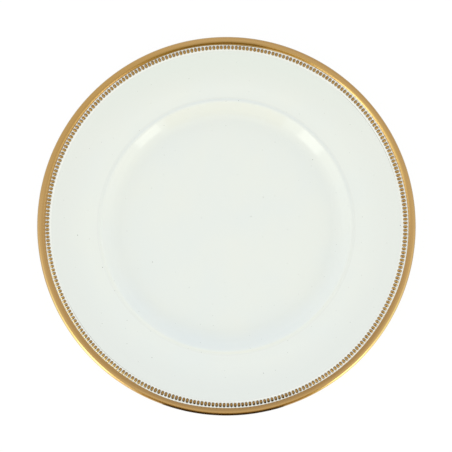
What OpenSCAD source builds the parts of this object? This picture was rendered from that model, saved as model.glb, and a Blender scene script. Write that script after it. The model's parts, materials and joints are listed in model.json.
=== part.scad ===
// Charger plate: a glazed china service plate with a gilded lip and a row of raised gold beads.
// Millimetres, +Z up, origin on the table at the centre of the foot ring.
// Every layer is turned from one outline. The body is the outline itself, and the glaze and the gold
// are strips between two lines drawn parallel to it, so each layer lies face to face on the one below.

/* [Plate] */
// Diameter over the gilded lip
plate_d = 305; // [290:1:330]
// Height from the table to the crest of the lip
plate_h = 21; // [19:0.5:25]

/* [Well] */
// Diameter of the verge, the raised ring round the well
verge_d = 202; // [194:0.2:210]
// Depth of the well below the verge
well_depth = 7.2; // [6:0.1:8.5]
// Tilt of the well wall just under the verge, in degrees
wall_angle = 34; // [30:1:42]
// Radius of the bend from the floor into the wall
well_bend_r = 18; // [12:1:22]
// Width of the side of the verge that faces the rim
verge_side_w = 2.3; // [1.7:0.1:2.9]
// Drop from the verge to the rim
verge_drop = 0.7; // [0.5:0.05:1]

/* [Rim] */
// How far the middle of the rim lies below a straight rim
rim_dip = 0.9; // [0.2:0.1:1.5]

/* [Body] */
// Thickness of the rim
rim_t = 3.6; // [3:0.1:4.2]
// Thickness of the lip
edge_t = 3.8; // [3.4:0.1:4.2]
// Thickness of the well wall
wall_t = 3.8; // [3.2:0.1:4.6]
// Thickness of the floor
floor_t = 4; // [3.2:0.1:5]

/* [Lip] */
// Width of the gold band, seen from above
band_w = 6.2; // [5.2:0.1:8]
// Width of the gold on the underside
band_under_w = 2; // [1.4:0.1:4]
// Rise of the lip above the bead land
lip_h = 0.95; // [0.6:0.05:1.3]
// Tilt of the lip's inner side where it leaves the bead land, in degrees
lip_angle = 41; // [32:1:55]

/* [Beads] */
// Distance from the middle of one bead to the next
bead_pitch = 3; // [2.6:0.05:4]
// Length of a bead, measured towards the centre of the plate
bead_l = 3.6; // [2.6:0.1:4.6]
// Width of a bead, twice its height
bead_w = 2.2; // [1.6:0.05:2.4]
// Bare glaze between the beads and the band
bead_gap = 0.3; // [0.2:0.05:1.5]
// Bare glaze between the beads and the inner edge of their land
land_margin = 1.35; // [0.5:0.05:3]
// Turn of the whole row about the axis, in degrees
bead_row_turn = 1.04; // [0:0.01:1.19]

/* [Foot] */
// Height of the foot ring
foot_h = 3; // [2.4:0.1:4]
// Width of the foot ring on the table
foot_w = 4; // [3.2:0.1:6]
// Taper of the foot ring's sides, in degrees
foot_taper = 12; // [4:1:20]
// Flat underside between the foot ring and the bend into the wall
foot_inset = 5.5; // [5.5:0.5:10]
// Height up to which the foot ring is wiped bare of glaze
wipe_h = 1; // [0.8:0.1:1.4]

/* [Layers] */
// Thickness of the glaze
glaze_t = 0.2; // [0.15:0.01:0.3]
// Thickness of the fired gold
gold_t = 0.15; // [0.15:0.01:0.2]

/* [Hidden] */

// Bend radii of the face
verge_crest_r = 2.6;
verge_foot_r = 3;
rim_hollow_r = 170;
land_edge_r = 3;
lip_foot_r = 0.5;
lip_crest_r = 3.2;
lip_edge_r = 2.6;
// Bend radii of the back
lip_under_r = 1.1;
back_edge_r = 30;
back_corner_r = 5;
back_bend_r = 12;
foot_root_r = 1.5;
foot_edge_r = 0.8;
// Flat run of gold on the bead land before the lip rises
band_lead = 0.6;
// Largest distance between a bend and the chords that draw it
chord_gap = 0.01;
// Share of a straight run that the bends at its ends may take up
bend_room_share = 0.95;
// A turn of fewer degrees than this is drawn as a plain point
least_turn = 0.01;
// Facets round the plate and round a bead
plate_facets = 180;
bead_facets = 32;

// Radii from the axis
verge_r = verge_d / 2;
body_r = plate_d / 2 - glaze_t - gold_t;
band_in_r = plate_d / 2 - band_w;
bead_mid_r = band_in_r - bead_gap - bead_l / 2;
land_in_r = bead_mid_r - bead_l / 2 - land_margin;
bead_count = round(2 * PI * bead_mid_r / bead_pitch);

// Heights of the body's surfaces
floor_z = foot_h + floor_t;
verge_z = floor_z + well_depth;
lip_z = plate_h - gold_t - glaze_t;
land_z = lip_z - lip_h;

// Radius of the well wall at height z, a depth of t below its surface
function wall_r(z, t) = verge_r - (verge_z - z) / tan(wall_angle) + t / sin(wall_angle);

// Places that the face and the back share
rim_in = [verge_r + verge_side_w, verge_z - verge_drop];
rim_mid = (rim_in + [land_in_r, land_z]) / 2 - [0, rim_dip];
under_corner_z = rim_in.y - rim_t;
foot_run = foot_h * tan(foot_taper);
wipe_run = wipe_h * tan(foot_taper);
foot_r = wall_r(foot_h, wall_t) - foot_inset - foot_run;
foot_in_r = foot_r - foot_w;

// The outline, from the middle of the face round the lip and the foot to the middle of the underside.
// Each corner is [radius from the axis, height, bend radius], and the air is always on the left.
face_corners = [
  [0, floor_z, 0],
  [wall_r(floor_z, 0), floor_z, well_bend_r],
  [verge_r, verge_z, verge_crest_r],
  [rim_in.x, rim_in.y, verge_foot_r],
  [rim_mid.x, rim_mid.y, rim_hollow_r],
  [land_in_r, land_z, land_edge_r],
];
band_start = [band_in_r, land_z, 0];
lip_corners = [
  [band_in_r + band_lead, land_z, lip_foot_r],
  [band_in_r + band_lead + lip_h / tan(lip_angle), lip_z, lip_crest_r],
  [body_r, lip_z, lip_edge_r],
  [body_r, lip_z - edge_t, lip_under_r],
];
back_corners = [
  [land_in_r, land_z - rim_t, back_edge_r],
  [rim_mid.x, rim_mid.y - rim_t, rim_hollow_r],
  [wall_r(under_corner_z, wall_t), under_corner_z, back_corner_r],
  [wall_r(foot_h, wall_t), foot_h, back_bend_r],
  [foot_r + foot_run, foot_h, foot_root_r],
];
wipe_out = [foot_r + wipe_run, wipe_h, 0];
foot_corners = [
  [foot_r, 0, foot_edge_r],
  [foot_in_r, 0, foot_edge_r],
];
wipe_in = [foot_in_r - wipe_run, wipe_h, 0];
recess_corners = [
  [foot_in_r - foot_run, foot_h, foot_root_r],
  [0, foot_h, 0],
];
// Where the gold ends, on the straight line from the lip's lower corner to the back of the rim
band_end = let (from = last(lip_corners), to = back_corners[0])
  [each point(from) + band_under_w * heading(from, to), 0];

// The last item of a list
function last(list) = list[len(list) - 1];
// A corner's place, without its bend radius
function point(corner) = [corner.x, corner.y];
// Unit vector from one corner or point towards the next
function heading(a, b) = (point(b) - point(a)) / norm(point(b) - point(a));
// A vector turned a quarter to the left, into the air
function left(v) = [-v.y, v.x];

// Degrees that the outline turns at corner i, more than zero to the left
function turn(c, i) =
  let (before = heading(c[i - 1], c[i]), after = heading(c[i], c[i + 1]))
  atan2(cross(before, after), before * after);

// Length of straight line that the bend at corner i wants on either side
function reach(c, i) = i == 0 || i == len(c) - 1 ? 0 : c[i].z * tan(abs(turn(c, i)) / 2);

// Share of its radius that the bend at corner i gets, so that neighbouring bends never run into each other
function bend_share(c, i) = min(
  1,
  bend_room_share * norm(point(c[i]) - point(c[i - 1])) / (reach(c, i - 1) + reach(c, i)),
  bend_room_share * norm(point(c[i + 1]) - point(c[i])) / (reach(c, i) + reach(c, i + 1))
);

// Number of chords that keep a bend within chord_gap of its true arc
function chords(radius, angle) = ceil(abs(angle) / (2 * acos(max(0, 1 - chord_gap / radius))));

// The points of the bend at corner i
function bend(c, i) =
  let (angle = turn(c, i), radius = c[i].z * bend_share(c, i))
  abs(angle) < least_turn || radius == 0 ? [point(c[i])] :
  let (
    side = angle < 0 ? 1 : -1,
    before = heading(c[i - 1], c[i]),
    start = point(c[i]) - before * radius * tan(abs(angle) / 2),
    centre = start - side * radius * left(before),
    first = atan2(before.x, -before.y),
    count = chords(radius, angle)
  )
  [for (k = [0:count])
    let (a = first + angle * k / count)
    centre + side * radius * [cos(a), sin(a)]];

// A line through the corners of c, with every corner but the first and the last bent to its radius
function rounded(c) = [point(c[0]), for (i = [1:len(c) - 2]) each bend(c, i), point(last(c))];

// A line a distance of t into the air from another one, parallel to it all the way
function parallel(line, t) =
  let (end = len(line) - 1)
  [for (i = [0:end])
    let (
      before = left(heading(line[max(i - 1, 0)], line[max(i, 1)])),
      after = left(heading(line[min(i, end - 1)], line[min(i + 1, end)]))
    )
    line[i] + t * (before + after) / (1 + before * after)];

// The closed outline of a layer that lies on a line, from t_in above it to t_out above it
function layer(line, t_in, t_out) =
  let (under = parallel(line, t_in), top = parallel(line, t_out))
  concat(top, [for (i = [len(under) - 1:-1:0]) under[i]]);

outer_corners = concat(face_corners, [band_start], lip_corners, [band_end], back_corners, [wipe_out]);
inner_corners = concat([wipe_in], recess_corners);

module turned(outline) {
  rotate_extrude($fn = plate_facets) polygon(outline);
}

// The fired body: floor, well wall, verge, rim, bead land, lip and foot ring in one piece
module china_body() {
  color("#f3efe6") turned(rounded(concat(outer_corners, foot_corners, inner_corners)));
}

// The glaze over the face, the lip and the back, down to the wiped foot ring
module glaze_outer() {
  color("#eaefe8") turned(layer(rounded(outer_corners), 0, glaze_t));
}

// The glaze on the recess inside the foot ring
module glaze_inside_foot() {
  color("#e4e9e2") turned(layer(rounded(inner_corners), 0, glaze_t));
}

// The fired gold over the glazed lip, from the bead land round the edge to the underside
module gold_band() {
  band_corners = concat([band_start], lip_corners, [band_end]);
  color("#be9a5f") turned(layer(rounded(band_corners), glaze_t, glaze_t + gold_t));
}

// Half the outline of a bead: a bar with round ends, cut along its middle
module bead_outline() {
  bar_l = bead_l - bead_w;
  intersection() {
    union() {
      square([bead_w, bar_l], center = true);
      for (end = [-1, 1]) translate([0, end * bar_l / 2]) circle(d = bead_w, $fn = bead_facets);
    }
    translate([0, -bead_l / 2]) square([bead_w, bead_l]);
  }
}

// A half-round bead with round ends, flat side down and pointing along x
module bead() {
  rotate([90, 0, 90]) rotate_extrude(angle = 180, $fn = bead_facets) bead_outline();
}

// The row of beads, seated on the glaze of their land and spread evenly round the plate
module gold_beads() {
  color("#b08a45")
    for (i = [0:bead_count - 1])
      rotate([0, 0, bead_row_turn + 360 * i / bead_count])
        translate([bead_mid_r, 0, land_z + glaze_t])
          bead();
}

china_body();
glaze_outer();
glaze_inside_foot();
gold_band();
gold_beads();
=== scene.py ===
# %% [markdown]
# A charger plate is the wide china plate that stays on the table under the dinner plate. This lesson
# dresses one: white glazed china, a row of raised gold beads and a lip covered with fired gold.
# The solid plate has been built before, in real sizes, and is loaded here as a fixed frame.
# Everything below is fitted to it, in metres, with +Z up and the foot ring on the table at z = 0.

# %% Load the solid plate
import json
import math
import random

import bpy
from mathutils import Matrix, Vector

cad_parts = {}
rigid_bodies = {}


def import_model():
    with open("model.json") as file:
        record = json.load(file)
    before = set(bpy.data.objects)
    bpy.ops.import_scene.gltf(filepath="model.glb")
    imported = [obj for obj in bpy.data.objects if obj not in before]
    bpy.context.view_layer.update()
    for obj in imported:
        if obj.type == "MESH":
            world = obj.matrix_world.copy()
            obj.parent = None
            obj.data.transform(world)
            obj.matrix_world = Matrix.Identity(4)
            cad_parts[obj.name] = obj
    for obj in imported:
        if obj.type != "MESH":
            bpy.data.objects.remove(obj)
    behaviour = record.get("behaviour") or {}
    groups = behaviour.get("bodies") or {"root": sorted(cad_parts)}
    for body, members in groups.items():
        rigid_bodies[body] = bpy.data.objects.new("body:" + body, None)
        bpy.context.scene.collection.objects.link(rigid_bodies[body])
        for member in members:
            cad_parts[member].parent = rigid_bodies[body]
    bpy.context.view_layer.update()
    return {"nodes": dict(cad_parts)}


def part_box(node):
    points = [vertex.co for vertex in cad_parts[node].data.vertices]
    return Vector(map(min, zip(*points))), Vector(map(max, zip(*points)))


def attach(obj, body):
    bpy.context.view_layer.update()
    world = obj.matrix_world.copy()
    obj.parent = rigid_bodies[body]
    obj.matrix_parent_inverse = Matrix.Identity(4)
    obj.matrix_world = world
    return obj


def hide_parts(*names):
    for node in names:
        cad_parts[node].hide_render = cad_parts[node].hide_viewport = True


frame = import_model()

print("nodes of the solid plate:", sorted(frame["nodes"]))

# %% [markdown]
# Sizes are easier to read in millimetres, and finish colours as the hex values of a colour picker.
# Blender wants metres and linear light, so one number and one function turn them.

# %% Units and colours
MM = 0.001


def linear(hex_colour):
    """A colour written as sRGB hex, such as #BE9A5F, as linear red, green, blue and alpha."""
    shares = [int(hex_colour[i:i + 2], 16) / 255 for i in (1, 3, 5)]
    return [s / 12.92 if s <= 0.04045 else ((s + 0.055) / 1.055) ** 2.4 for s in shares] + [1.0]


print("burnished gold in linear light:", [round(c, 3) for c in linear("#BE9A5F")])

# %% [markdown]
# The photo looks straight down on the plate, so its outline is a true circle. A long lens far above
# keeps the raised lip and the low well at nearly the same scale, as the photo has them. The picture
# is square, and the plate fills 379.4 of its 452 pixels, a little right of and below the middle.

# %% Camera
PHOTO_PX = 452
PLATE_PX = 379.4
PLATE_CENTRE_PX = (225.93, 225.73)
PLATE_D = 305 * MM
LENS_MM = 150
SENSOR_MM = 36
LIP_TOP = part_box("gold_band")[1].z

metres_per_px = PLATE_D / PLATE_PX
camera_height = PHOTO_PX * metres_per_px * LENS_MM / SENSOR_MM
middle_px = (PHOTO_PX - 1) / 2

camera_data = bpy.data.cameras.new("camera")
camera_data.lens = LENS_MM
camera_data.sensor_width = SENSOR_MM
camera = bpy.data.objects.new("camera", camera_data)
bpy.context.scene.collection.objects.link(camera)
camera.location = (
    (middle_px - PLATE_CENTRE_PX[0]) * metres_per_px,
    (PLATE_CENTRE_PX[1] - middle_px) * metres_per_px,
    LIP_TOP + camera_height,
)
bpy.context.scene.camera = camera
print("camera height above the lip:", round(camera_height, 3), "m")

# %% [markdown]
# A plate is made on a wheel: a profiled tool scrapes the spinning clay to shape, so one outline
# decides every surface. The same outline, drawn again a little further out, gives the skin of glaze,
# and once more the skin of gold. These are the sizes of that outline, in millimetres. In their names
# R is a distance from the axis, H a height, T a thickness, W a width and L a length.

# %% Sizes of the outline
GLAZE_T, GOLD_T = 0.2, 0.15
PLATE_R, PLATE_H = 152.5, 21.0
VERGE_R, WELL_DEPTH, WALL_ANGLE = 101.0, 7.2, math.radians(34)
VERGE_SIDE_W, VERGE_DROP, RIM_DIP = 2.3, 0.7, 0.9
RIM_T, EDGE_T, WALL_T, FLOOR_T = 3.6, 3.8, 3.8, 4.0
BAND_W, BAND_UNDER_W, BAND_LEAD = 6.2, 2.0, 0.6
LIP_H, LIP_ANGLE = 0.95, math.radians(41)
BEAD_L, BEAD_W, BEAD_GAP, BEAD_PITCH = 3.6, 2.2, 0.3, 3.0
BEAD_ROW_TURN = math.radians(1.04)
LAND_MARGIN = 1.35
FOOT_H, FOOT_W, FOOT_TAPER, FOOT_INSET, WIPE_H = 3.0, 4.0, math.radians(12), 5.5, 1.0

body_r = PLATE_R - GLAZE_T - GOLD_T
band_in_r = PLATE_R - BAND_W
bead_mid_r = band_in_r - BEAD_GAP - BEAD_L / 2
land_in_r = bead_mid_r - BEAD_L / 2 - LAND_MARGIN
floor_z = FOOT_H + FLOOR_T
verge_z = floor_z + WELL_DEPTH
lip_z = PLATE_H - GOLD_T - GLAZE_T
land_z = lip_z - LIP_H


def wall_r(z, depth):
    """Radius of the well wall at a height, or of its back, a depth below the surface."""
    return VERGE_R - (verge_z - z) / math.tan(WALL_ANGLE) + depth / math.sin(WALL_ANGLE)


rim_in = (VERGE_R + VERGE_SIDE_W, verge_z - VERGE_DROP)
rim_mid = ((rim_in[0] + land_in_r) / 2, (rim_in[1] + land_z) / 2 - RIM_DIP)
foot_run = FOOT_H * math.tan(FOOT_TAPER)
wipe_run = WIPE_H * math.tan(FOOT_TAPER)
foot_r = wall_r(FOOT_H, WALL_T) - FOOT_INSET - foot_run
print("beads at", round(bead_mid_r, 2), "mm, foot ring at", round(foot_r, 2), "mm from the axis")

# %% [markdown]
# The outline is a string of corners. Each one gives its distance from the axis, its height and the
# radius that the tool rounds it to. Written so, it has only as many points as the form needs, and the
# round stretches come from a formula. The list runs from the middle of the face, round the lip, to the
# foot, with the air on its left.

# %% Corners of the outline
face_corners = [
    (0, floor_z, 0),
    (wall_r(floor_z, 0), floor_z, 18),
    (VERGE_R, verge_z, 2.6),
    (*rim_in, 3),
    (*rim_mid, 170),
    (land_in_r, land_z, 3),
]
lip_corners = [
    (band_in_r + BAND_LEAD, land_z, 0.5),
    (band_in_r + BAND_LEAD + LIP_H / math.tan(LIP_ANGLE), lip_z, 3.2),
    (body_r, lip_z, 2.6),
    (body_r, lip_z - EDGE_T, 1.1),
]
under_corner_z = rim_in[1] - RIM_T
back_corners = [
    (land_in_r, land_z - RIM_T, 30),
    (rim_mid[0], rim_mid[1] - RIM_T, 170),
    (wall_r(under_corner_z, WALL_T), under_corner_z, 5),
    (wall_r(FOOT_H, WALL_T), FOOT_H, 12),
    (foot_r + foot_run, FOOT_H, 1.5),
]
foot_corners = [(foot_r, 0, 0.8), (foot_r - FOOT_W, 0, 0.8)]
recess_corners = [
    (foot_r - FOOT_W - wipe_run, WIPE_H, 0),
    (foot_r - FOOT_W - foot_run, FOOT_H, 1.5),
    (0, FOOT_H, 0),
]
band_start = (band_in_r, land_z, 0)
wipe_out = (foot_r + wipe_run, WIPE_H, 0)


def heading(a, b):
    """Unit vector from one corner towards the next."""
    return (Vector(b[:2]) - Vector(a[:2])).normalized()


edge_corner = Vector(lip_corners[-1][:2])
band_end = (*(edge_corner + BAND_UNDER_W * heading(lip_corners[-1], back_corners[0])), 0)
outer_corners = [*face_corners, band_start, *lip_corners, band_end, *back_corners, wipe_out]
print("corners of the outline:", len(outer_corners) + len(foot_corners) + len(recess_corners))

# %% [markdown]
# A bend is an arc that leaves one straight line and joins the next without a kink. Smooth gloss shows
# every facet, so the arcs are drawn with chords that stay within four thousandths of a millimetre.
# Neighbouring bends share the straight line between them, so that they never run into each other.

# %% Bend the corners
CHORD_GAP = 0.004
BEND_ROOM_SHARE = 0.95
LEAST_TURN = math.radians(0.01)


def turn(corners, i):
    """Angle that the line turns at corner i, more than zero to the left."""
    before, after = heading(corners[i - 1], corners[i]), heading(corners[i], corners[i + 1])
    return math.atan2(before.cross(after), before.dot(after))


def reach(corners, i):
    """Length of straight line that the bend at corner i wants on either side."""
    if i in (0, len(corners) - 1):
        return 0
    return corners[i][2] * math.tan(abs(turn(corners, i)) / 2)


def run_share(corners, i, k):
    """Share that the run from corner i to corner k leaves for the bends at its two ends."""
    wanted = reach(corners, i) + reach(corners, k)
    room = BEND_ROOM_SHARE * (Vector(corners[i][:2]) - Vector(corners[k][:2])).length
    return min(1, room / wanted) if wanted else 1


def bend(corners, i):
    """The points of the bend at corner i."""
    angle = turn(corners, i)
    radius = corners[i][2] * min(run_share(corners, i - 1, i), run_share(corners, i, i + 1))
    corner = Vector(corners[i][:2])
    if abs(angle) < LEAST_TURN or radius < CHORD_GAP:
        return [corner]
    side = 1 if angle < 0 else -1
    before = heading(corners[i - 1], corners[i])
    left = Vector((-before.y, before.x))
    centre = corner - before * radius * math.tan(abs(angle) / 2) - side * radius * left
    first = math.atan2(left.y, left.x)
    count = math.ceil(abs(angle) / (2 * math.acos(1 - CHORD_GAP / radius)))
    turns = [first + angle * k / count for k in range(count + 1)]
    return [centre + side * radius * Vector((math.cos(a), math.sin(a))) for a in turns]


def rounded(corners):
    """The line through the corners, with all but the first and the last bent to their radius."""
    bends = [point for i in range(1, len(corners) - 1) for point in bend(corners, i)]
    return [Vector(corners[0][:2]), *bends, Vector(corners[-1][:2])]


outer_line = rounded(outer_corners)
print("points on the outer line:", len(outer_line))

# %% [markdown]
# Glaze and gold lie on the china like skins of even thickness. Moving each point of the line along
# the bisector of its two runs gives a line that is parallel to it all the way.

# %% Skins that lie on the outline


def parallel(line, gap):
    """The line moved a distance of gap into the air."""
    moved = []
    for i, point in enumerate(line):
        before = heading(line[max(i - 1, 0)], line[max(i, 1)])
        after = heading(line[min(i, len(line) - 2)], line[min(i + 1, len(line) - 1)])
        left = Vector((-before.y - after.y, before.x + after.x))
        moved.append(point + gap * left / (1 + before.dot(after)))
    return moved


def skin(line, inside, outside):
    """The closed outline of a skin between two distances from the line."""
    return parallel(line, outside) + parallel(line, inside)[::-1]


print("glaze over the lip reaches", round(max(p.x for p in parallel(outer_line, GLAZE_T)), 3), "mm")

# %% [markdown]
# Turning an outline about the axis makes the piece, as the wheel does. Blender has a Screw modifier
# and a spin operator for that. Here the rings are written out instead, because then the points on the
# axis become one vertex each, the rings close without a seam, and a piece can differ round the plate.

# %% Turn an outline into a piece
RING_STEPS = 360
ON_AXIS = 1e-6
SHARP_ANGLE = math.radians(35)


def piece(name, points, faces, body="root"):
    """A smooth mesh object that rides on a body of the frame."""
    mesh = bpy.data.meshes.new(name)
    mesh.from_pydata([tuple(p) for p in points], [], faces)
    mesh.validate()
    mesh.shade_smooth()
    mesh.set_sharp_from_angle(angle=SHARP_ANGLE)
    made = bpy.data.objects.new(name, mesh)
    bpy.context.scene.collection.objects.link(made)
    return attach(made, body)


def turned(name, outline_at):
    """A closed piece of revolution. outline_at gives its outline, in millimetres, for each angle."""
    points, rings = [], []
    for step in range(RING_STEPS):
        angle = 2 * math.pi * step / RING_STEPS
        ring = []
        for k, (r, z) in enumerate(outline_at(angle)):
            if r < ON_AXIS and step:
                ring.append(rings[0][k])
                continue
            ring.append(len(points))
            points.append((r * math.cos(angle) * MM, r * math.sin(angle) * MM, z * MM))
        rings.append(ring)
    faces = []
    for step, ring in enumerate(rings):
        following = rings[(step + 1) % RING_STEPS]
        for k in range(len(ring)):
            n = (k + 1) % len(ring)
            corners = [ring[k], ring[n], following[n], following[k]]
            face = list(dict.fromkeys(corners))
            if len(face) > 2:
                faces.append(face)
    return piece(name, points, faces)


body_outline = rounded([*outer_corners, *foot_corners, *recess_corners])
china = turned("china", lambda angle: body_outline)
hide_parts("china_body")
print("china body:", len(china.data.polygons), "faces")

# %% [markdown]
# The glaze is a thin layer of glass melted onto the china. The foot ring is wiped bare before the
# glaze firing, or the plate would stick to the kiln shelf, so the glaze comes in two pieces: one over
# the face, the lip and the back, and one in the recess inside the foot ring.

# %% Glaze
glaze_outline = skin(outer_line, 0, GLAZE_T)
glaze = turned("glaze", lambda angle: glaze_outline)
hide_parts("glaze_outer")

recess_outline = skin(rounded(recess_corners), 0, GLAZE_T)
recess_glaze = turned("recess_glaze", lambda angle: recess_outline)
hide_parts("glaze_inside_foot")
print("glaze over the plate:", len(glaze.data.polygons), "faces")
print("glaze in the recess:", len(recess_glaze.data.polygons), "faces")

# %% [markdown]
# The gold is banded by hand: a decorator holds a loaded brush against the slowly turning lip. Its
# inner edge strays inwards by up to 0.7 mm, and in places it comes so close to the beads that the
# white line between them closes. A few slow waves round the plate give the same wander.
# Each wave says how many of it fit round the plate, its size in millimetres and its start in degrees.

# %% Gold band
EDGE_STRAY = 0.12
EDGE_WAVES = ((1, 0.28, -80), (3, 0.2, -165), (5, 0.14, 15), (7, 0.14, -40), (12, 0.14, 130))
EDGE_LEAST = -0.35


def slow_waves(angle, waves):
    """The sum of some waves round the plate at this angle."""
    return sum(size * math.sin(count * angle + math.radians(start)) for count, size, start in waves)


def edge_wander(angle):
    """How far the brush strayed inwards at this angle, in millimetres."""
    return max(EDGE_LEAST, EDGE_STRAY + slow_waves(angle, EDGE_WAVES))


def band_outline(angle):
    """The band's outline at this angle, with its inner edge where the brush left it."""
    start = (band_in_r - edge_wander(angle), land_z, 0)
    return skin(rounded([start, *lip_corners, band_end]), GLAZE_T, GLAZE_T + GOLD_T)


gold_band = turned("gold_lip", band_outline)
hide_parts("gold_band")
wander = [edge_wander(math.radians(a)) for a in range(360)]
print("the band's inner edge wanders from", round(min(wander), 2), "to", round(max(wander), 2), "mm")

# %% [markdown]
# Each bead is a small half-round bar with round ends that points at the centre of the plate. It is
# built as a grid of half circles along its length, closer together at the round ends. An Array
# modifier could repeat one bead round the plate, but then all would be alike, so each is written out.

# %% One gold bead
END_STEPS = 8
ARCH_STEPS = 16
ARCH_POINTS = ARCH_STEPS + 1


def bead_stations():
    """Places along a bead and the radius of the bar there, with the round ends drawn finely."""
    bar = (BEAD_L - BEAD_W) / 2
    ends = [math.pi / 2 * k / END_STEPS for k in range(1, END_STEPS + 1)]
    outer = [(bar + BEAD_W / 2 * math.cos(a), BEAD_W / 2 * math.sin(a)) for a in ends]
    return [(-x, r) for x, r in outer] + outer[::-1]


stations = bead_stations()
seat = Vector((0, 0, land_z + GLAZE_T))


def one_bead(angle, middle, long, wide, high):
    """Points and faces of a bead on the glaze of its land, stretched by three shares near 1."""
    out = Vector((math.cos(angle), math.sin(angle), 0))
    along = Vector((-out.y, out.x, 0))
    points, faces = [], []
    for x, r in stations:
        for k in range(ARCH_POINTS):
            arch = math.pi * k / ARCH_STEPS
            place = out * (middle + x * long) + along * (r * wide * math.cos(arch)) + seat
            points.append((place + Vector((0, 0, r * high * math.sin(arch)))) * MM)
    for station in range(len(stations) - 1):
        for k in range(ARCH_POINTS):
            a = station * ARCH_POINTS + k
            b = station * ARCH_POINTS + (k + 1) % ARCH_POINTS
            faces.append((a, b, b + ARCH_POINTS, a + ARCH_POINTS))
    for x, at in ((-BEAD_L / 2, 0), (BEAD_L / 2, (len(stations) - 1) * ARCH_POINTS)):
        tip = len(points)
        points.append((out * (middle + x * long) + seat) * MM)
        for k in range(ARCH_POINTS):
            a, b = at + k, at + (k + 1) % ARCH_POINTS
            faces.append((tip, b, a) if x < 0 else (tip, a, b))
    return points, faces


print("half circles along a bead:", len(stations), "with", ARCH_POINTS, "points each")

# %% [markdown]
# On the real plate the beads are set and gilded one by one, so no two are quite alike. Seeded draws
# move each by a small share of the pitch and change its sizes by up to 3 percent. As measured in the
# photo, the row sits 0.24 mm further in than on the solid plate, and its beads are 6 percent shorter.
# Round the plate the row wanders by up to half a millimetre in all, and the beads grow shorter and
# longer again. Slow waves give both: those of the row in millimetres, those of the length in shares.

# %% Row of gold beads
BEAD_SEED = 7
BEAD_STRAY = 0.012
BEAD_SPREAD = 0.03
ROW_SHIFT = -0.24
ROW_WAVES = ((1, 0.12, -5), (2, 0.06, 106), (3, 0.17, -14), (4, 0.07, -6), (6, 0.08, 152))
BEAD_SHORTER = 0.06
LENGTH_WAVES = ((1, 0.06, 160), (3, 0.05, 90))
bead_count = round(2 * math.pi * bead_mid_r / BEAD_PITCH)


def bead_row():
    """Points and faces of all the beads."""
    draw = random.Random(BEAD_SEED)
    points, faces = [], []
    for number in range(bead_count):
        angle = BEAD_ROW_TURN + 2 * math.pi * (number + draw.gauss(0, BEAD_STRAY)) / bead_count
        long = 1 + draw.uniform(-1, 1) * BEAD_SPREAD
        wide = 1 + draw.uniform(-1, 1) * BEAD_SPREAD
        high = 1 - draw.random() * BEAD_SPREAD
        long += slow_waves(angle, LENGTH_WAVES) - BEAD_SHORTER
        middle = bead_mid_r + ROW_SHIFT + slow_waves(angle, ROW_WAVES)
        bead_points, bead_faces = one_bead(angle, middle, long, wide, high)
        faces += [tuple(len(points) + i for i in face) for face in bead_faces]
        points += bead_points
    return points, faces


gold_beads = piece("gold_bead_row", *bead_row())
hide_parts("gold_beads")
print("gold beads:", bead_count, "at a pitch of", round(2 * math.pi * bead_mid_r / bead_count, 3), "mm")

# %% [markdown]
# A finish is a small network of nodes. One function adds a node, sets what it is told to set and
# links what it is given as a link, so that each finish below reads as a list of what it is made of.
# The Mix node tells its sockets apart by number: 0 is the share, 6 and 7 are the two colours, and
# the blend of colours leaves it at 2. Two plain numbers go into 2 and 3, and their blend leaves at 0.

# %% One function for every node


def add(tree, kind, inputs=None, **settings):
    """A new node with its settings. An input is either a plain value or another node's output."""
    made = tree.nodes.new("ShaderNode" + kind)
    for name, value in settings.items():
        setattr(made, name, value)
    for key, value in (inputs or {}).items():
        if isinstance(value, bpy.types.NodeSocket):
            tree.links.new(value, made.inputs[key])
        else:
            made.inputs[key].default_value = value
    return made


def new_finish(name, *pieces):
    """An empty material on the given pieces. Returns its node tree and its shader."""
    material = bpy.data.materials.new(name)
    material.use_nodes = True
    for made in pieces:
        made.data.materials.clear()
        made.data.materials.append(material)
    return material.node_tree, material.node_tree.nodes["Principled BSDF"]


print("materials so far:", len(bpy.data.materials))

# %% [markdown]
# Most marks on a turned plate run in rings, and some lie on one side of it. So the finishes need to
# know how far a point lies from the axis, in millimetres, and its direction from the axis. Both come
# from the object's own coordinates, so a pattern is fixed to the plate and has no seam. One mask
# picks out a ring. The other picks out a side, by the cosine between direction and bearing: it is 1
# on the bearing itself, 0.98 at 11 degrees from it and 0.85 at 32 degrees. Bearings are counted from
# the right of the picture, against the clock, and the far side of the plate is at 90 degrees.

# %% Rings and sides


def in_millimetres(tree):
    """The object's own coordinates in millimetres."""
    coordinates = add(tree, "TexCoord").outputs["Object"]
    return add(tree, "VectorMath", {0: coordinates, "Scale": 1 / MM}, operation="SCALE").outputs[0]


def round_the_axis(tree, place):
    """Distance from the axis, height, and direction from the axis."""
    flat = add(tree, "VectorMath", {0: place, 1: (1, 1, 0)}, operation="MULTIPLY").outputs[0]
    radius = add(tree, "VectorMath", {0: flat}, operation="LENGTH").outputs["Value"]
    direction = add(tree, "VectorMath", {0: flat}, operation="NORMALIZE").outputs[0]
    height = add(tree, "SeparateXYZ", {0: place}).outputs["Z"]
    return radius, height, direction


def ring_mask(tree, radius, at, half_width):
    """1 on a ring at a radius, falling to 0 at half_width on both sides of it."""
    away = add(tree, "Math", {0: radius, 1: at}, operation="SUBTRACT").outputs[0]
    size = add(tree, "Math", {0: away}, operation="ABSOLUTE").outputs[0]
    ramp = {"Value": size, "From Min": 0, "From Max": half_width, "To Min": 1, "To Max": 0}
    return add(tree, "MapRange", ramp, interpolation_type="SMOOTHSTEP").outputs["Result"]


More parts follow.
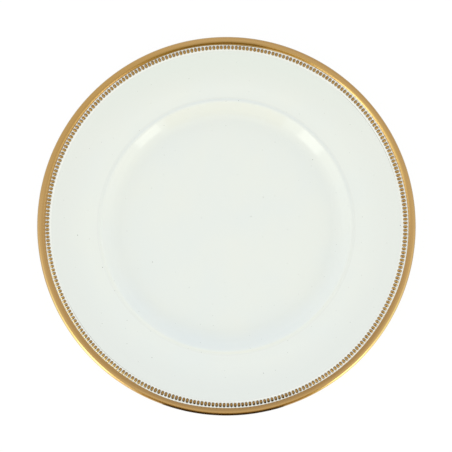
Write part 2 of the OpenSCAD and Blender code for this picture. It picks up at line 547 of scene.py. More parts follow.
def bearing_mask(tree, direction, bearing, least, most, rise=0):
    """0 to 1 as the cosine between a direction and a bearing, in degrees, goes from least to most."""
    side, rise = math.radians(bearing), math.radians(rise)
    towards = (math.cos(side) * math.cos(rise), math.sin(side) * math.cos(rise), math.sin(rise))
    cosine = add(tree, "VectorMath", {0: direction, 1: towards}, operation="DOT_PRODUCT").outputs["Value"]
    ramp = {"Value": cosine, "From Min": least, "From Max": most}
    return add(tree, "MapRange", ramp).outputs["Result"]


print("the bead land begins", round(land_in_r, 2), "mm from the axis")

# %% [markdown]
# The main finish is glazed bone china: white fired clay under a clear, slightly green glass. The eye
# sees a cool white with a sharp gloss on top. The white isn't even: it drifts in wide clouds, and the
# rim is a little greyer than the well. On the far side the rim carries a painted shade, a little darker
# and cooler. A picture of it could be painted, but one Mix node for each tone, laid over the one
# before, has no seam and stays sharp from close by.

# %% White of the glazed bone china
CLOUD_MM = 45
CLOUD_LOW, CLOUD_HIGH = 0.35, 0.65
RIM_TONE_FROM, RIM_TONE_TO = 112, 132
FAR_SHADE_FROM, FAR_SHADE_TO = 70, 125

tree, china_gloss = new_finish("glazed bone china", glaze, recess_glaze)
place = in_millimetres(tree)
radius, height, direction = round_the_axis(tree, place)
clouds = add(tree, "TexNoise", {"Vector": place, "Scale": 1 / CLOUD_MM, "Detail": 3}).outputs["Fac"]
cloud_share = {"Value": clouds, "From Min": CLOUD_LOW, "From Max": CLOUD_HIGH}
cloud_share = add(tree, "MapRange", cloud_share).outputs["Result"]
mix = {0: cloud_share, 6: linear("#E6EAEB"), 7: linear("#E8EBEA")}
white = add(tree, "Mix", mix, data_type="RGBA").outputs[2]

rim_share = {"Value": radius, "From Min": RIM_TONE_FROM, "From Max": RIM_TONE_TO}
rim_share = add(tree, "MapRange", rim_share).outputs["Result"]
mix = {0: rim_share, 6: white, 7: linear("#E4E7E7")}
white = add(tree, "Mix", mix, data_type="RGBA").outputs[2]

# Painted shade: the far side of the rim is made a little darker and cooler.
northing = add(tree, "SeparateXYZ", {0: place}).outputs["Y"]
far_shade_share = {"Value": northing, "From Min": FAR_SHADE_FROM, "From Max": FAR_SHADE_TO}
far_shade_share = add(tree, "MapRange", far_shade_share).outputs["Result"]
far_shade_share = add(tree, "Math", {0: far_shade_share, 1: rim_share}, operation="MULTIPLY").outputs[0]
mix = {0: far_shade_share, 6: white, 7: linear("#E1E6E6")}
white = add(tree, "Mix", mix, data_type="RGBA").outputs[2]
print("clouds in the glaze:", CLOUD_MM, "mm across")

# %% [markdown]
# Over the bead land the glaze is painted whiter: a painted highlight for the light that the land catches
# beside the beads. At the foot of the verge a narrow ring of painted shade darkens the hollow. The back
# has the same radii, so a mask by height keeps the lighter land on the face.

# %% Painted highlight on the bead land and painted shade at the verge
LAND_LIGHT_LEAD, LAND_LIGHT_PAST = 0.2, 0.6
VERGE_SHADE_PAST, VERGE_SHADE_HALF_W = 0.8, 0.8

on_face = {"Value": height, "From Min": land_z - RIM_T / 2, "From Max": land_z - RIM_T / 4}
on_face = add(tree, "MapRange", on_face).outputs["Result"]
# Painted highlight: the glaze over the bead land is made whiter.
land_highlight_share = {
    "Value": radius,
    "From Min": land_in_r - LAND_LIGHT_LEAD,
    "From Max": land_in_r + LAND_LIGHT_PAST,
}
land_highlight_share = add(tree, "MapRange", land_highlight_share).outputs["Result"]
land_highlight_share = add(tree, "Math", {0: land_highlight_share, 1: on_face}, operation="MULTIPLY").outputs[0]
mix = {0: land_highlight_share, 6: white, 7: linear("#F6F8F8")}
white = add(tree, "Mix", mix, data_type="RGBA").outputs[2]

# Painted shade: a darker ring in the hollow at the foot of the verge.
painted_light_or_shade = ring_mask(tree, radius, rim_in[0] + VERGE_SHADE_PAST, VERGE_SHADE_HALF_W)
mix = {0: painted_light_or_shade, 6: white, 7: linear("#E5E8E8")}
white = add(tree, "Mix", mix, data_type="RGBA").outputs[2]
# The distance printed is that of the ring of painted shade.
print("the glaze pools", round(rim_in[0] + VERGE_SHADE_PAST, 2), "mm from the axis")

# %% [markdown]
# A few tiny specks of iron from the clay show in the glaze. A cell pattern has one point in each cell.
# The distance to it makes a round speck, and the cell's random colour decides how dark the speck is:
# most cells stay empty, some get a faint speck, and a high power of the chance leaves very few dark.

# %% Specks of iron
SPECK_CELL_MM = 10
SPECK_R_MM = 0.34
SPECK_LEAST = 0.72
SPECK_FAINT = 0.43
SPECK_RARITY = 30

cell_inputs = {"Vector": place, "Scale": 1 / SPECK_CELL_MM, "Randomness": 1}
cells = add(tree, "TexVoronoi", cell_inputs, voronoi_dimensions="2D").outputs
speck_r = SPECK_R_MM / SPECK_CELL_MM
near = {"Value": cells["Distance"], "From Min": speck_r, "From Max": speck_r / 2}
speck = add(tree, "MapRange", near).outputs["Result"]
chance = add(tree, "SeparateColor", {0: cells["Color"]}).outputs["Red"]
chance = {"Value": chance, "From Min": SPECK_LEAST, "From Max": 1}
chance = add(tree, "MapRange", chance).outputs["Result"]
rare = add(tree, "Math", {0: chance, 1: SPECK_RARITY}, operation="POWER").outputs[0]
dark = add(tree, "Math", {0: chance, 1: SPECK_FAINT, 2: rare}, operation="MULTIPLY_ADD").outputs[0]
speck = add(tree, "Math", {0: speck, 1: dark}, operation="MULTIPLY").outputs[0]
mix = {0: speck, 6: white, 7: linear("#2E2B26")}
white = add(tree, "Mix", mix, data_type="RGBA").outputs[2]
print("specks of up to", 2 * SPECK_R_MM, "mm, at most one in", SPECK_CELL_MM, "mm each way")

# %% [markdown]
# Where the rim turns into the bead land, a hair-thin line of painted shade lies on two sides of the
# plate. A narrow ring mask draws it, and two bearings keep it to those sides.

# %% Painted shade line at the bead land
SHADE_LINE_W = 0.3
SHADE_LINE_BEARINGS = (32, 222)
SHADE_LINE_FROM, SHADE_LINE_FULL = 0.94, 0.98

# Painted shade: a thin grey line along the inner edge of the land.
line = ring_mask(tree, radius, land_in_r, SHADE_LINE_W / 2)
sides = 0
for bearing in SHADE_LINE_BEARINGS:
    facing = bearing_mask(tree, direction, bearing, SHADE_LINE_FROM, SHADE_LINE_FULL)
    sides = add(tree, "Math", {0: sides, 1: facing}, operation="ADD").outputs[0]
line = add(tree, "Math", {0: line, 1: sides}, operation="MULTIPLY").outputs[0]
line = add(tree, "Math", {0: line, 1: on_face}, operation="MULTIPLY").outputs[0]
mix = {0: line, 6: white, 7: linear("#78756A")}
white = add(tree, "Mix", mix, data_type="RGBA").outputs[2]
tree.links.new(white, china_gloss.inputs["Base Color"])
print("fine line:", SHADE_LINE_W, "mm wide")

# %% [markdown]
# Glaze is glass, so its index of refraction is 1.5, with a reflection a little weaker than clear glass
# gives, as in the photo. It came out of the kiln glossy, with a breath of haze in places, and it
# isn't quite flat: waves 14 mm long and 0.03 mm high let the reflections swim a little.

# %% Gloss of the glazed bone china
HAZE_LOW, HAZE_HIGH = 0.3, 0.7
GLAZE_CLEAR, GLAZE_HAZY = 0.05, 0.1
GLAZE_IOR = 1.5
GLAZE_SPECULAR = 0.32
RIPPLE_MM, RIPPLE_H_MM = 14, 0.03

haze = add(tree, "TexNoise", {"Vector": place, "Scale": 1 / CLOUD_MM, "Detail": 6}).outputs["Fac"]
gloss = {
    "Value": haze,
    "From Min": HAZE_LOW,
    "From Max": HAZE_HIGH,
    "To Min": GLAZE_CLEAR,
    "To Max": GLAZE_HAZY,
}
tree.links.new(add(tree, "MapRange", gloss).outputs["Result"], china_gloss.inputs["Roughness"])
china_gloss.inputs["IOR"].default_value = GLAZE_IOR
china_gloss.inputs["Specular IOR Level"].default_value = GLAZE_SPECULAR

ripple = add(tree, "TexNoise", {"Vector": place, "Scale": 1 / RIPPLE_MM, "Detail": 1}).outputs["Fac"]
waves = add(tree, "Bump", {"Height": ripple, "Strength": 1, "Distance": RIPPLE_H_MM * MM})
tree.links.new(waves.outputs[0], china_gloss.inputs["Normal"])
print("glaze roughness from", GLAZE_CLEAR, "to", GLAZE_HAZY)

# %% [markdown]
# Only the foot ring shows the bare fired china: dense, matt and a little cream, with a fine grain and
# the grey marks of the tables that it has stood on. Both are noise, one fine and one coarse. The real
# grain is some hundredths of a millimetre wide, too fine to show, so it is drawn coarser.

# %% Unglazed bone china
GRAIN_MM, GRAIN_H_MM = 0.35, 0.04
GRAIN_LOW, GRAIN_HIGH = 0.3, 0.7
GRAIN_BUMP = 0.6
SCUFF_MM = 6
SCUFF_LOW, SCUFF_HIGH, SCUFF_MOST = 0.56, 0.7, 0.5
BARE_ROUGHNESS = 0.8

tree, bare = new_finish("unglazed bone china", china)
place = in_millimetres(tree)
grain = add(tree, "TexNoise", {"Vector": place, "Scale": 1 / GRAIN_MM, "Detail": 4}).outputs["Fac"]
grain_share = {"Value": grain, "From Min": GRAIN_LOW, "From Max": GRAIN_HIGH}
grain_share = add(tree, "MapRange", grain_share).outputs["Result"]
mix = {0: grain_share, 6: linear("#E2DCCF"), 7: linear("#EFEBE1")}
clay = add(tree, "Mix", mix, data_type="RGBA").outputs[2]
scuffs = add(tree, "TexNoise", {"Vector": place, "Scale": 1 / SCUFF_MM, "Detail": 5}).outputs["Fac"]
scuff_share = {"Value": scuffs, "From Min": SCUFF_LOW, "From Max": SCUFF_HIGH, "To Max": SCUFF_MOST}
scuff_share = add(tree, "MapRange", scuff_share).outputs["Result"]
mix = {0: scuff_share, 6: clay, 7: linear("#A9A59C")}
clay = add(tree, "Mix", mix, data_type="RGBA").outputs[2]
tree.links.new(clay, bare.inputs["Base Color"])
bare.inputs["Roughness"].default_value = BARE_ROUGHNESS
clay_bump = add(tree, "Bump", {"Height": grain, "Strength": GRAIN_BUMP, "Distance": GRAIN_H_MM * MM})
tree.links.new(clay_bump.outputs[0], bare.inputs["Normal"])
print("clay grain drawn at", GRAIN_MM, "mm")

# %% [markdown]
# The lip carries burnished gold: fired dull, then rubbed with a fine sand or an agate until it shines
# softly. The brush and the burnishing both went round the plate, so the eye sees fine rings, a little
# lighter and darker, and reflections that smear across them. Four-dimensional noise draws them: it is
# stretched along the ring and fine across it, in radius and in height, so it holds on the round edge.
# The scratches of the rubbing are finer than the picture shows, so the rings are drawn wider.

# %% Rings in the burnished gold
STREAK_MM = 0.45
STREAK_LENGTH_MM = 60
STREAK_LOW, STREAK_HIGH = 0.3, 0.7


def streaks(tree, radius, height, direction):
    """Noise in rings: fine across the ring, stretched along it."""
    turns = {0: direction, "Scale": PLATE_R / STREAK_LENGTH_MM}
    spread = add(tree, "VectorMath", turns, operation="SCALE").outputs[0]
    flat = add(tree, "SeparateXYZ", {0: spread}).outputs
    rise = add(tree, "Math", {0: height, 1: 1 / STREAK_MM}, operation="MULTIPLY").outputs[0]
    across = add(tree, "Math", {0: radius, 1: 1 / STREAK_MM}, operation="MULTIPLY").outputs[0]
    vector = add(tree, "CombineXYZ", {"X": flat["X"], "Y": flat["Y"], "Z": rise}).outputs[0]
    noise = {"Vector": vector, "W": across, "Scale": 1, "Detail": 3}
    return add(tree, "TexNoise", noise, noise_dimensions="4D").outputs["Fac"]


tree, gold = new_finish("burnished gold", gold_band)
radius, height, direction = round_the_axis(tree, in_millimetres(tree))
rings = streaks(tree, radius, height, direction)
ring_share = {"Value": rings, "From Min": STREAK_LOW, "From Max": STREAK_HIGH}
ring_share = add(tree, "MapRange", ring_share).outputs["Result"]
mix = {0: ring_share, 6: linear("#B58D4D"), 7: linear("#BC9758")}
metal = add(tree, "Mix", mix, data_type="RGBA").outputs[2]
print("gold streaks", STREAK_MM, "mm wide and about", STREAK_LENGTH_MM, "mm long")

# %% [markdown]
# The room of the photo was less even than the one below, so the gold's shade isn't the same all round.
# The inner flank of the lip is browner, partly for the thinner gold at the edge of the brush stroke and
# partly as painted shade. Flank and outer edge both have patches of painted light and shade: lighter
# toward the reflections of the two lamps, darker where the metal mirrors shade. Each patch has a
# bearing, a shade and the two cosines between which it fades in. The widths are in millimetres from
# the inner edge of the band.

# %% Painted light and shade of the burnished gold
INNER_FULL, INNER_NONE = 1.6, 3.0
OUTER_NONE, OUTER_FULL = 3.8, 4.7
INNER_SHADE = "#AB8445"
INNER_LIGHT_AND_SHADE = {
    28: ("#BC934F", 0.8, 0.97),
    92: ("#97742B", 0.85, 0.98),
    278: ("#9F7A3F", 0.3, 0.9),
    67: ("#C39C54", 0.972, 0.992),
}
OUTER_LIGHT_AND_SHADE = {
    50: ("#AF8746", 0.7, 0.96),
    215: ("#BFA15B", 0.96, 0.985),
    318: ("#BFA15B", 0.92, 0.96),
}

# The inner flank is browner: partly thinner gold, partly painted shade.
inner_share = {
    "Value": radius,
    "From Min": band_in_r + INNER_FULL,
    "From Max": band_in_r + INNER_NONE,
    "To Min": 1,
    "To Max": 0,
}
inner_share = add(tree, "MapRange", inner_share).outputs["Result"]
mix = {0: inner_share, 6: metal, 7: linear(INNER_SHADE)}
metal = add(tree, "Mix", mix, data_type="RGBA").outputs[2]
outer_share = {"Value": radius, "From Min": band_in_r + OUTER_NONE, "From Max": band_in_r + OUTER_FULL}
outer_share = add(tree, "MapRange", outer_share).outputs["Result"]
# Painted highlights and painted shade, patch by patch, on the inner flank and the outer edge.
for part_share, shades in ((inner_share, INNER_LIGHT_AND_SHADE), (outer_share, OUTER_LIGHT_AND_SHADE)):
    for bearing, (shade, least, most) in shades.items():
        facing = bearing_mask(tree, direction, bearing, least, most)
        share = add(tree, "Math", {0: part_share, 1: facing}, operation="MULTIPLY").outputs[0]
        mix = {0: share, 6: metal, 7: linear(shade)}
        metal = add(tree, "Mix", mix, data_type="RGBA").outputs[2]
print("patches in the gold:", len(INNER_LIGHT_AND_SHADE) + len(OUTER_LIGHT_AND_SHADE))

# %% [markdown]
# At the upper right the bright line on the lip is wider than the light alone makes it. A short ring of
# painted highlight, lighter gold along the top of the inner flank, widens it there.

# %% Painted highlight at the upper right
HIGHLIGHT_RING_IN, HIGHLIGHT_RING_HALF_W = 1.9, 1.0
HIGHLIGHT_RING_BEARING = 33
HIGHLIGHT_RING_FROM, HIGHLIGHT_RING_FULL = 0.93, 0.98

# Painted highlight along the top of the inner flank.
painted_highlight = ring_mask(tree, radius, band_in_r + HIGHLIGHT_RING_IN, HIGHLIGHT_RING_HALF_W)
facing = bearing_mask(tree, direction, HIGHLIGHT_RING_BEARING, HIGHLIGHT_RING_FROM, HIGHLIGHT_RING_FULL)
painted_highlight = add(tree, "Math", {0: painted_highlight, 1: facing}, operation="MULTIPLY").outputs[0]
mix = {0: painted_highlight, 6: metal, 7: linear("#CCA657")}
metal = add(tree, "Mix", mix, data_type="RGBA").outputs[2]
tree.links.new(metal, gold.inputs["Base Color"])
gold.inputs["Metallic"].default_value = 1
print("light ring", round(band_in_r + HIGHLIGHT_RING_IN, 2), "mm from the axis")

# %% [markdown]
# The rings differ in polish as they do in shade, and the inner flank, which a burnisher reaches less
# well, is a little duller. At the upper left it missed a patch, and there the flank stays dull.
# Rubbing also closes the skin of the gold, which puts a harder shine over the soft one. The shader's
# coat stands in for that skin, at half its strength in the missed patch.

# %% Polish of the burnished gold
RUBBED_LOW, RUBBED_HIGH = 0.19, 0.27
FLANK_DULL = 0.02
FLANK_FULL, FLANK_NONE = 1.2, 3.2
MISSED_BEARING, MISSED_FROM, MISSED_FULL = 136, 0.8, 0.97
MISSED_TIMES, MISSED_SKIN = 5, 0.5
SKIN_ROUGHNESS = 0.12
RING_BUMP, RING_H_MM = 0.3, 0.01

rubbed = {
    "Value": rings,
    "From Min": STREAK_LOW,
    "From Max": STREAK_HIGH,
    "To Min": RUBBED_LOW,
    "To Max": RUBBED_HIGH,
}
rubbed = add(tree, "MapRange", rubbed).outputs["Result"]
flank = {
    "Value": radius,
    "From Min": band_in_r + FLANK_FULL,
    "From Max": band_in_r + FLANK_NONE,
    "To Min": FLANK_DULL,
    "To Max": 0,
}
flank = add(tree, "MapRange", flank).outputs["Result"]
missed = bearing_mask(tree, direction, MISSED_BEARING, MISSED_FROM, MISSED_FULL)
times = {"Value": missed, "To Min": 1, "To Max": MISSED_TIMES}
times = add(tree, "MapRange", times).outputs["Result"]
dull = add(tree, "Math", {0: flank, 1: times, 2: rubbed}, operation="MULTIPLY_ADD").outputs[0]
tree.links.new(dull, gold.inputs["Roughness"])
skin = {"Value": missed, "To Min": 1, "To Max": MISSED_SKIN}
tree.links.new(add(tree, "MapRange", skin).outputs["Result"], gold.inputs["Coat Weight"])
gold.inputs["Coat Roughness"].default_value = SKIN_ROUGHNESS
ring_bump = add(tree, "Bump", {"Height": rings, "Strength": RING_BUMP, "Distance": RING_H_MM * MM})
tree.links.new(ring_bump.outputs[0], gold.inputs["Normal"])
print("gold roughness from", RUBBED_LOW, "to", RUBBED_HIGH)

# %% [markdown]
# The beads carry the same gold, but a burnisher only reaches their tops. Their flanks stay duller, and
# they are painted much darker and browner than the tops, a painted shade that makes the row read as
# separate beads from a distance. Redder clouds drift along the row. On the far side of the plate and
# on the near side the row is painted browner, a painted shade.

# %% Gilded beads
BEAD_CLOUD_MM = 5
BEAD_CLOUD_LOW, BEAD_CLOUD_HIGH, BEAD_CLOUD_MOST = 0.45, 0.7, 0.35
FAR_BEAD_SHADE_BEARING, FAR_BEAD_SHADE_FULL, FAR_BEAD_SHADE_MOST = 95, 0.6, 0.35
NEAR_BEAD_SHADE_FROM, NEAR_BEAD_SHADE_FULL, NEAR_BEAD_SHADE_MOST = -60, -145, 0.5
BEAD_TOP_ROUGHNESS, BEAD_FOOT_ROUGHNESS = 0.15, 0.28

tree, bead_gold = new_finish("gilded bead", gold_beads)
place = in_millimetres(tree)
radius, height, direction = round_the_axis(tree, place)
top = {"Value": height, "From Min": seat.z, "From Max": seat.z + BEAD_W / 2}
top_share = add(tree, "MapRange", top).outputs["Result"]
# Painted shade: the flanks are much darker than the tops.
mix = {0: top_share, 6: linear("#64481F"), 7: linear("#BE9A5C")}
metal = add(tree, "Mix", mix, data_type="RGBA").outputs[2]
dull = {"Value": top_share, "To Min": BEAD_FOOT_ROUGHNESS, "To Max": BEAD_TOP_ROUGHNESS}
tree.links.new(add(tree, "MapRange", dull).outputs["Result"], bead_gold.inputs["Roughness"])

clouds = add(tree, "TexNoise", {"Vector": place, "Scale": 1 / BEAD_CLOUD_MM, "Detail": 2}).outputs["Fac"]
red_share = {
    "Value": clouds,
    "From Min": BEAD_CLOUD_LOW,
    "From Max": BEAD_CLOUD_HIGH,
    "To Max": BEAD_CLOUD_MOST,
}
red_share = add(tree, "MapRange", red_share).outputs["Result"]
mix = {0: red_share, 6: metal, 7: linear("#9A6B35")}
metal = add(tree, "Mix", mix, data_type="RGBA").outputs[2]

# Painted shade: browner on the far side and on the near side of the plate.
far = bearing_mask(tree, direction, FAR_BEAD_SHADE_BEARING, 0, FAR_BEAD_SHADE_FULL)
far = add(tree, "Math", {0: far, 1: FAR_BEAD_SHADE_MOST}, operation="MULTIPLY").outputs[0]
mix = {0: far, 6: metal, 7: linear("#6E4E22")}
metal = add(tree, "Mix", mix, data_type="RGBA").outputs[2]
northing = add(tree, "SeparateXYZ", {0: place}).outputs["Y"]
near = {"Value": northing, "From Min": NEAR_BEAD_SHADE_FROM, "From Max": NEAR_BEAD_SHADE_FULL, "To Max": NEAR_BEAD_SHADE_MOST}
near = add(tree, "MapRange", near).outputs["Result"]
mix = {0: near, 6: metal, 7: linear("#6B4A1E")}
metal = add(tree, "Mix", mix, data_type="RGBA").outputs[2]
print("bead roughness from", BEAD_TOP_ROUGHNESS, "on top to", BEAD_FOOT_ROUGHNESS, "at the foot")

# %% [markdown]
# The outer end of each bead stands close to the rising lip. In the photo these ends shine toward the
# two lamps and are nearly black between them, more so than the soft light of this scene makes them,
# so a shade is laid over them there: lighter at two bearings and dark at the third.

# %% Outer ends of the beads
END_RUN = 0.9
END_FROM, END_FULL = 0.85, 0.97
END_SHADES = {216: ("#FFEFB8", 0.9), 322: ("#EBD29A", 0.5), 270: ("#1E1206", 0.9)}

row_r = bead_mid_r + ROW_SHIFT
outer_end = {"Value": radius, "From Min": row_r, "From Max": row_r + END_RUN}
outer_end = add(tree, "MapRange", outer_end).outputs["Result"]
for bearing, (shade, end_most) in END_SHADES.items():
    facing = bearing_mask(tree, direction, bearing, END_FROM, END_FULL)
    share = add(tree, "Math", {0: outer_end, 1: facing}, operation="MULTIPLY").outputs[0]
    share = add(tree, "Math", {0: share, 1: end_most}, operation="MULTIPLY").outputs[0]
    mix = {0: share, 6: metal, 7: linear(shade)}
    metal = add(tree, "Mix", mix, data_type="RGBA").outputs[2]
tree.links.new(metal, bead_gold.inputs["Base Color"])
bead_gold.inputs["Metallic"].default_value = 1
print("the shades of the outer ends begin", round(row_r, 2), "mm from the axis")

# %% [markdown]
# The plate lies on a plain table that is covered with white paper, as photographers do for small
# things. Paper is matt and a little warm, with fibres about a millimetre long, which are too fine to
# show as more than a soft unevenness.

# %% Table
TABLE_HALF = 4.0
FIBRES_PER_MM = 0.9
PAPER_ROUGHNESS = 0.9

table_mesh = bpy.data.meshes.new("table")
square = [(-1, -1), (1, -1), (1, 1), (-1, 1)]
table_mesh.from_pydata([(x * TABLE_HALF, y * TABLE_HALF, 0) for x, y in square], [], [(0, 1, 2, 3)])
table = bpy.data.objects.new("table", table_mesh)
bpy.context.scene.collection.objects.link(table)

tree, paper = new_finish("matt white paper", table)
place = in_millimetres(tree)
fibres = add(tree, "TexNoise", {"Vector": place, "Scale": FIBRES_PER_MM, "Detail": 2}).outputs["Fac"]
mix = {0: fibres, 6: linear("#EFEFED"), 7: linear("#F4F4F2")}
pale = add(tree, "Mix", mix, data_type="RGBA").outputs[2]
tree.links.new(pale, paper.inputs["Base Color"])
paper.inputs["Roughness"].default_value = PAPER_ROUGHNESS
paper.inputs["Specular IOR Level"].default_value = 0
print("the table is", 2 * TABLE_HALF, "m wide")

# %% [markdown]
# A camera that exposes for the gold lets such a table go fully white, so rays from the camera, and
# those that mirror in the gold, see mostly a plain white glow, with a share of the real shaded table
# left in so that the plate keeps its soft shadow. In the mirror of the gold the glow is stronger
# toward the two lamps: a high power of the cosine to each lamp's bearing makes two pools of light.

# %% Glow of the table
SHADE_SHARE, MIRRORED_SHADE_SHARE = 0.09, 0.55
TABLE_GLOW, TABLE_POOL, POOL_FALL = 1.03, 1.2, 12
POOL_BEARINGS = (228, 313)

path = add(tree, "LightPath").outputs
*_, direction = round_the_axis(tree, place)
pools = 0
for bearing in POOL_BEARINGS:
    facing = bearing_mask(tree, direction, bearing, 0, 1)
    painted_light_or_shade = add(tree, "Math", {0: facing, 1: POOL_FALL}, operation="POWER").outputs[0]
    pools = add(tree, "Math", {0: painted_light_or_shade, 1: pools}, operation="ADD").outputs[0]
pools = add(tree, "Math", {0: pools, 1: path["Is Glossy Ray"]}, operation="MULTIPLY").outputs[0]
strength = {0: pools, 1: TABLE_POOL, 2: TABLE_GLOW}
strength = add(tree, "Math", strength, operation="MULTIPLY_ADD").outputs[0]
glow = add(tree, "Emission", {"Color": linear("#FFFFFF"), "Strength": strength}).outputs[0]

mirrored = {0: path["Is Glossy Ray"], 1: path["Is Transmission Ray"]}
mirrored = add(tree, "Math", mirrored, operation="MAXIMUM").outputs[0]
mirrored = add(tree, "Math", {0: mirrored, 1: 1 - MIRRORED_SHADE_SHARE}, operation="MULTIPLY").outputs[0]
seen = {0: path["Is Camera Ray"], 1: 1 - SHADE_SHARE, 2: mirrored}
glow_share = add(tree, "Math", seen, operation="MULTIPLY_ADD").outputs[0]
table_mix = add(tree, "MixShader", {0: glow_share, 1: paper.outputs[0], 2: glow}).outputs[0]
tree.links.new(table_mix, tree.nodes["Material Output"].inputs["Surface"])
print("the table keeps", SHADE_SHARE, "of its shadow")

# %% [markdown]
# The gold and the well wall tell how the room was lit. A photo of a room could light the scene, but a
# few nodes say the same and can be read. Matt light is stronger from low down than from overhead, and
# a little stronger from the far side. It is warmer from the near side and cooler from the far side.

# %% White room, matt light
ROOM_LEVEL = 0.708
LOW_SHARE = 1.35
FAR_SIDE_SHARE = 0.15
NEAR_LIGHT, FAR_LIGHT = "#FFFAE2", "#EFF7FF"

world = bpy.data.worlds.new("white room")
bpy.context.scene.world = world
world.use_nodes = True
tree = world.node_tree
towards = add(tree, "TexCoord").outputs["Generated"]
parts = add(tree, "SeparateXYZ", {0: towards}).outputs
steepness = add(tree, "Math", {0: parts["Z"]}, operation="ABSOLUTE").outputs[0]
low_light = {0: steepness, 1: -LOW_SHARE * ROOM_LEVEL, 2: (1 + LOW_SHARE) * ROOM_LEVEL}
matt = add(tree, "Math", low_light, operation="MULTIPLY_ADD").outputs[0]
far_light = {0: parts["Y"], 1: FAR_SIDE_SHARE * ROOM_LEVEL, 2: matt}
matt = add(tree, "Math", far_light, operation="MULTIPLY_ADD").outputs[0]
far_share = add(tree, "MapRange", {"Value": parts["Y"], "From Min": -1}).outputs["Result"]
mix = {0: far_share, 6: linear(NEAR_LIGHT), 7: linear(FAR_LIGHT)}
matt_tint = add(tree, "Mix", mix, data_type="RGBA").outputs[2]
print("room level for matt surfaces:", ROOM_LEVEL)

# %% [markdown]
# Mirror rays see an even white room that grows brighter low down behind the two soft boxes, and a
# little blue-green with it. Each glow has a bearing and a height above the horizon, both in degrees,
# and a strength. The camera itself sees plain white in place of the room.

# %% White room, mirrored light
MIRRORED_LEVEL = 1.03
SIDE_GLOWS = ((222, 12, 1.55), (319, 12, 1.1))
SIDE_FALL = 6
SEEN_LEVEL = 1.0

glows = 0
for bearing, elevation, strength in SIDE_GLOWS:
    facing = bearing_mask(tree, towards, bearing, 0, 1, elevation)
    glow = add(tree, "Math", {0: facing, 1: SIDE_FALL}, operation="POWER").outputs[0]
    glows = add(tree, "Math", {0: glow, 1: strength, 2: glows}, operation="MULTIPLY_ADD").outputs[0]
mirrored = add(tree, "Math", {0: glows, 1: MIRRORED_LEVEL}, operation="ADD").outputs[0]
glow_share = add(tree, "Math", {0: glows, 1: mirrored}, operation="DIVIDE").outputs[0]
mix = {0: glow_share, 6: linear("#FFFFFF"), 7: linear("#E2F6F4")}
mirrored_tint = add(tree, "Mix", mix, data_type="RGBA").outputs[2]

path = add(tree, "LightPath").outputs
lit = add(tree, "Mix", {0: path["Is Glossy Ray"], 2: matt, 3: mirrored}).outputs[0]
level = add(tree, "Mix", {0: path["Is Camera Ray"], 2: lit, 3: SEEN_LEVEL}).outputs[0]
mix = {0: path["Is Glossy Ray"], 6: matt_tint, 7: mirrored_tint}
tint = add(tree, "Mix", mix, data_type="RGBA").outputs[2]
mix = {0: path["Is Camera Ray"], 6: tint, 7: linear("#FFFFFF")}
tint = add(tree, "Mix", mix, data_type="RGBA").outputs[2]
background = tree.nodes["Background"]
tree.links.new(tint, background.inputs["Color"])
tree.links.new(level, background.inputs["Strength"])
print("room level for mirrors:", MIRRORED_LEVEL)

# %% [markdown]
# Two tall, narrow soft boxes, one to the lower left and one to the lower right, draw the bright
# streaks on the lip and the small bright patches on the well wall. They face the plate. An area
# light's face glows with its power divided by pi and by its area, so the power is worked out from
# the glow. Each has a bearing and the height of its top, in metres.

# %% Soft boxes
BOX_DISTANCE = 1.6
BOX_WIDTH = 0.37
BOX_LOW = 0.05
BOX_GLOW = 2.8
BOXES = {"soft_box_left": (225, 1.6), "soft_box_right": (311, 1.15)}

for name, (bearing, top) in BOXES.items():
    box_data = bpy.data.lights.new(name, "AREA")
    box_data.shape = "RECTANGLE"
    box_data.size = BOX_WIDTH
    box_data.size_y = top - BOX_LOW
    box_data.energy = BOX_GLOW * math.pi * box_data.size * box_data.size_y
    box_data.color = linear("#FFFFF4")[:3]
    box = bpy.data.objects.new(name, box_data)
    bpy.context.scene.collection.objects.link(box)
    side = math.radians(bearing)
    middle = Vector((0, 0, (BOX_LOW + top) / 2))
    box.location = middle + BOX_DISTANCE * Vector((math.cos(side), math.sin(side), 0))
    box.rotation_euler = (middle - box.location).to_track_quat("-Z", "Y").to_euler()
    box.visible_camera = False
print("soft boxes:", len(BOXES), "each", BOX_WIDTH, "m wide")

# %% [markdown]
# Between the boxes, below the plate in the picture, lip and wall mirror something brown: a tan cloth
# further off, and close to the lip the dark edge of a stand, which gives the metal its shape. The
# stand is so low that the well wall looks over it. Only mirror rays meet the two, so neither of them
# takes light from the china or stands in a picture. Each run gives distance from the axis and height.

# %% Cloth and stand
CLOTH_SIDES, STAND_SIDES = (241, 300.5), (250.3, 287.7)
CLOTH_RUN = ((0.5, 0.001), (1.15, 0.001), (1.2, 0.1), (1.2, 1.9))
STAND_RUN = ((0.158, 0.001), (0.272, 0.001), (0.272, 0.12))
BENT_COLUMNS = 12


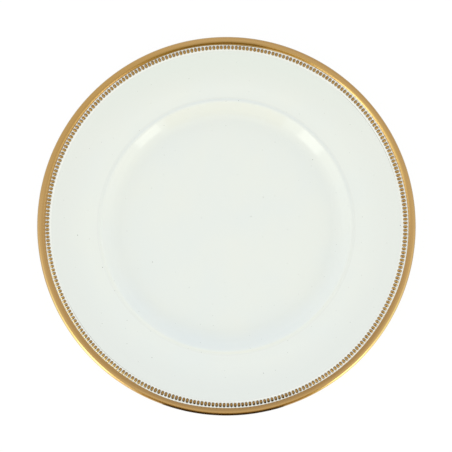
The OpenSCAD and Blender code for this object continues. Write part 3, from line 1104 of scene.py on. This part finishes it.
def bent_sheet(name, sides, run):
    """A sheet bent round the plate, between two bearings, with its run in metres."""
    first, last = (math.radians(bearing) for bearing in sides)
    points, faces = [], []
    for reached, height in run:
        for column in range(BENT_COLUMNS + 1):
            side = first + (last - first) * column / BENT_COLUMNS
            points.append((reached * math.cos(side), reached * math.sin(side), height))
    for row in range(len(run) - 1):
        for column in range(BENT_COLUMNS):
            corner = row * (BENT_COLUMNS + 1) + column
            faces.append((corner, corner + 1, corner + BENT_COLUMNS + 2, corner + BENT_COLUMNS + 1))
    mesh = bpy.data.meshes.new(name)
    mesh.from_pydata(points, [], faces)
    sheet = bpy.data.objects.new(name, mesh)
    bpy.context.scene.collection.objects.link(sheet)
    sheet.visible_camera = sheet.visible_diffuse = sheet.visible_shadow = False
    return sheet


cloth = bent_sheet("tan_cloth", CLOTH_SIDES, CLOTH_RUN)
stand = bent_sheet("dark_stand", STAND_SIDES, STAND_RUN)
print("the cloth fills", CLOTH_SIDES[1] - CLOTH_SIDES[0], "degrees round the plate")

# %% [markdown]
# The cloth is woven tan linen and the stand planed, dark walnut, both dull. They are seen only as
# blurred reflections, so soft noise between two browns is enough for weave and grain, drawn coarser
# than either is.

# %% Browns of cloth and stand
THREADS_PER_MM = 0.3
BROWNS = {
    "woven tan linen": (cloth, "#B2955A", "#BFA468"),
    "planed dark walnut": (stand, "#33200B", "#3E2A10"),
}

for name, (sheet, dark, light) in BROWNS.items():
    tree, dull_brown = new_finish(name, sheet)
    threads = {"Vector": in_millimetres(tree), "Scale": THREADS_PER_MM, "Detail": 2}
    threads = add(tree, "TexNoise", threads).outputs["Fac"]
    mix = {0: threads, 6: linear(dark), 7: linear(light)}
    brown = add(tree, "Mix", mix, data_type="RGBA").outputs[2]
    tree.links.new(brown, dull_brown.inputs["Base Color"])
    dull_brown.inputs["Roughness"].default_value = 1
print("browns:", ", ".join(BROWNS))

# %% [markdown]
# The Standard view shows a colour about as it is written.

# %% Finish
bpy.context.scene.view_settings.view_transform = "Standard"
